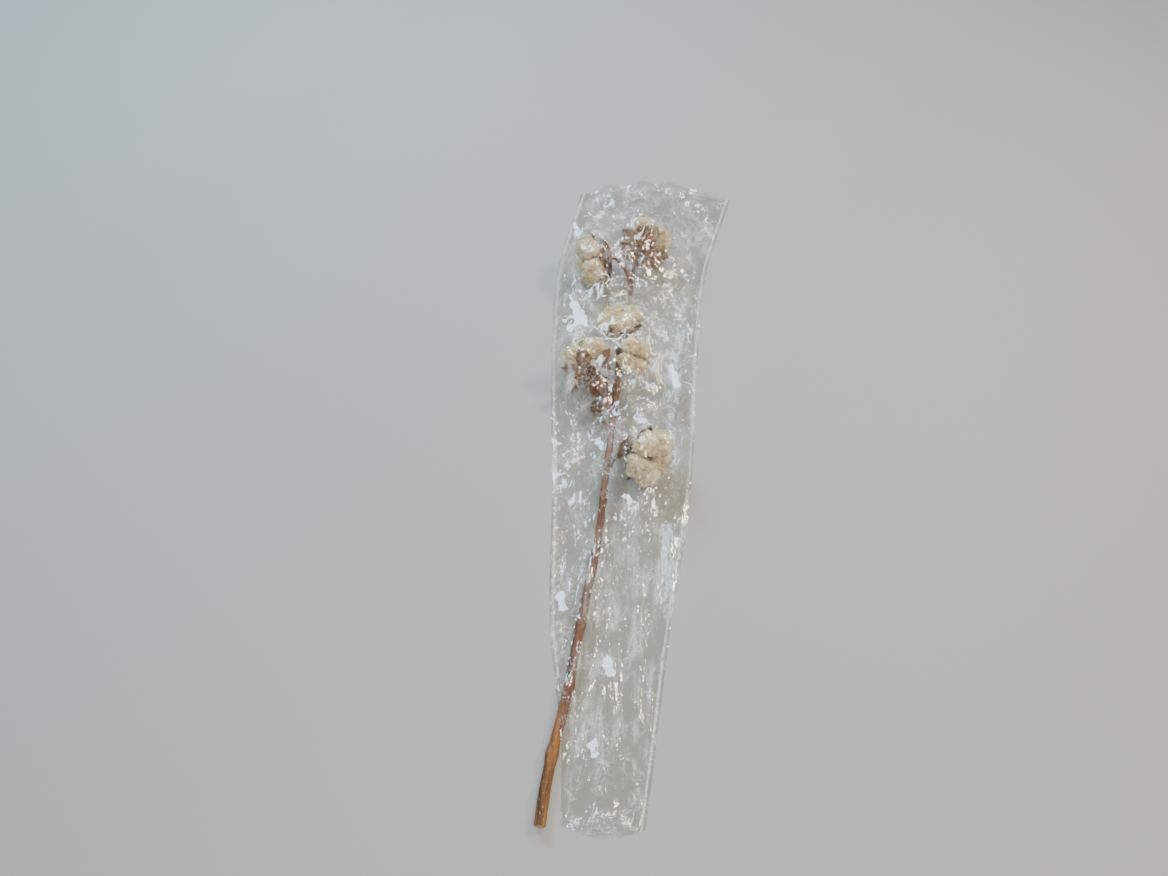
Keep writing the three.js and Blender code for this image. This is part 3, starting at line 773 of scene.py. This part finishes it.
def film_panel(name, heights, crests):
    """A sheet over the sleeve's plan with the given heights; attributes mark its weld strips and creases."""
    cut = random.Random(name)
    points = [(*plan[i, j, :2], heights[i, j]) for i in range(film_columns + 1) for j in range(film_rows + 1)]
    faces = []
    for i in range(film_columns):
        for j in range(film_rows):
            a = i * (film_rows + 1) + j
            b, c, d = a + film_rows + 1, a + film_rows + 2, a + 1
            faces += [(a, b, c), (a, c, d)] if cut.random() < 0.5 else [(a, b, d), (b, c, d)]
    data = bpy.data.meshes.new(name)
    data.from_pydata(points, [], faces)
    data.validate()
    bend = np.zeros(heights.shape)
    bend[1:-1, 1:-1] = np.abs(heights[:-2, 1:-1] + heights[2:, 1:-1] + heights[1:-1, :-2] + heights[1:-1, 2:]
                              - 4 * heights[1:-1, 1:-1])
    slight, sharp = np.percentile(bend, (72, 98))
    bend = np.maximum(np.clip((bend - slight) / (sharp - slight), 0, 1), crests)
    data.attributes.new("crease", "FLOAT", "POINT").data.foreach_set("value", bend.ravel())
    values = data.attributes.new("weld", "FLOAT", "POINT")
    for i in range(film_columns + 1):
        for j in range(film_rows + 1):
            left = plan[i, j, 0] - plan[0, j, 0]
            right = plan[-1, j, 0] - plan[i, j, 0]
            side = min(left if not seam_open[j] else 1, right)
            values.data[i * (film_rows + 1) + j].value = 1.0 if weld_outer < side < weld_inner else 0.0
    data.materials.append(film)
    panel = bpy.data.objects.new(name, data)
    bpy.context.scene.collection.objects.link(panel)
    bpy.context.view_layer.objects.active = panel
    panel.select_set(True)
    bpy.ops.object.shade_smooth_by_angle(angle=math.radians(24))
    panel.select_set(False)
    return panel


folds = np.maximum.reduce([
    pulled_folds(random.Random(3), 24, ((-60, -70), (46, -30)), ((-38, -358), (30, -350)), 1.1),
    pulled_folds(random.Random(4), 14, ((-50, -20), (50, 20)), ((-20, -250), (40, -190)), 1.0),
    pulled_folds(random.Random(5), 12, ((-92, 300), (-80, 352)), ((-60, 190), (20, 290)), 1.5),
    pulled_folds(random.Random(6), 10, ((40, 350), (92, 350)), ((30, 250), (60, 150)), 1.2),
    pulled_folds(random.Random(8), 10, ((-88, 150), (-84, 60)), ((-60, 40), (-45, -110)), 1.1)])
front_heights = drape + (crumple(31) + folds) * (0.25 + 0.75 * edge_ease)
for middle, half, lean in flat_facets:
    x, y = plan[:, :, 0] - middle[0] * mm, plan[:, :, 1] - middle[1] * mm
    level = front_heights.flat[np.argmin(x * x + y * y)]
    ragged = 1 + 0.35 * np.sin(x / mm * 0.31 + y / mm * 0.17) + 0.2 * np.sin(y / mm * 0.43 - x / mm * 0.22)
    share = np.clip((ragged - np.hypot((x + y * 0.18) / half[0], y / half[1]) / mm) * 3, 0, 1)
    front_heights += (level + lean[0] * x + lean[1] * y - front_heights) * share
front_heights += mouth_flare * 2.5 * mm * np.sin(share_across * 31 + plan[:, :, 1] * 40) * edge_ease
front_heights = np.maximum(front_heights, np.maximum(over - crease_bite, welded + front_rise))
front_heights[0, ~seam_open] = welded[0, ~seam_open] + front_rise
front_heights[-1] = welded[-1] + front_rise

flatness = np.maximum(0, 1 - 1.43 * np.sin(np.pi * share_across)) ** 2
back_heights = welded * flatness + 0.9 * mm + crumple(32) * 0.22 * edge_ease
back_heights = np.clip(back_heights, back_rise, np.minimum(below, front_heights - back_clearance))
back_heights[0, ~seam_open] = welded[0, ~seam_open] + back_rise
back_heights[-1] = welded[-1] + back_rise

crests = np.clip(folds / (1.0 * mm) - 0.35, 0, 0.9)
front = film_panel("sleeve_front_panel", front_heights, crests)
back = film_panel("sleeve_back_panel", back_heights, np.zeros_like(crests))
for panel, node in ((front, "sleeve_front_film"), (back, "sleeve_back_film")):
    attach(panel, "root")
    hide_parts(node)

# ---------------------------------------------------------------------------
# Studio
# A plain pale floor and four soft lights: the fill from the camera's side, the cool window from the far
# left, and a thin tube and a small warm lamp that make the film sparkle.
# ---------------------------------------------------------------------------

bpy.ops.mesh.primitive_plane_add(size=6, location=(0, 0, 0))
floor = bpy.context.object
floor.name = "floor"
floor.select_set(False)
paper, nodes, links, shader = new_material("pale_floor", 0.9)
shader.inputs["Base Color"].default_value = (0.41, 0.4, 0.375, 1)
floor.data.materials.append(paper)


def soft_light(name, place, size, power, colour):
    data = bpy.data.lights.new(name, "AREA")
    data.shape = "RECTANGLE"
    data.size, data.size_y = size
    data.energy = power
    data.color = colour
    light = bpy.data.objects.new(name, data)
    light.location = place
    light.rotation_euler = (-Vector(place)).to_track_quat("-Z", "Y").to_euler()
    bpy.context.scene.collection.objects.link(light)


soft_light("fill", (0.15, -0.75, 1.5), (0.7, 0.5), 20, (1.0, 0.985, 0.95))
soft_light("window", (-0.85, 0.9, 1.15), (0.95, 0.6), 29, (0.5, 0.76, 1.0))
soft_light("tube", (0.3, 1.15, 1.25), (0.9, 0.06), 8, (1.0, 0.98, 0.92))
soft_light("lamp", (0.85, 0.3, 1.1), (0.22, 0.22), 9, (1.0, 0.86, 0.6))

world = bpy.data.worlds.new("studio")
world.use_nodes = True
background = world.node_tree.nodes["Background"]
background.inputs["Color"].default_value = (0.92, 0.95, 1.0, 1)
background.inputs["Strength"].default_value = 0.22
bpy.context.scene.world = world

lens = bpy.data.cameras.new("camera")
lens.lens = 27.4
lens.sensor_width = 36
camera = bpy.data.objects.new("camera", lens)
camera.location = (-0.00447, -0.49205, 0.75)
camera.rotation_euler = [math.radians(a) for a in (33.39, 0.05, 5.11)]
bpy.context.scene.collection.objects.link(camera)
bpy.context.scene.camera = camera
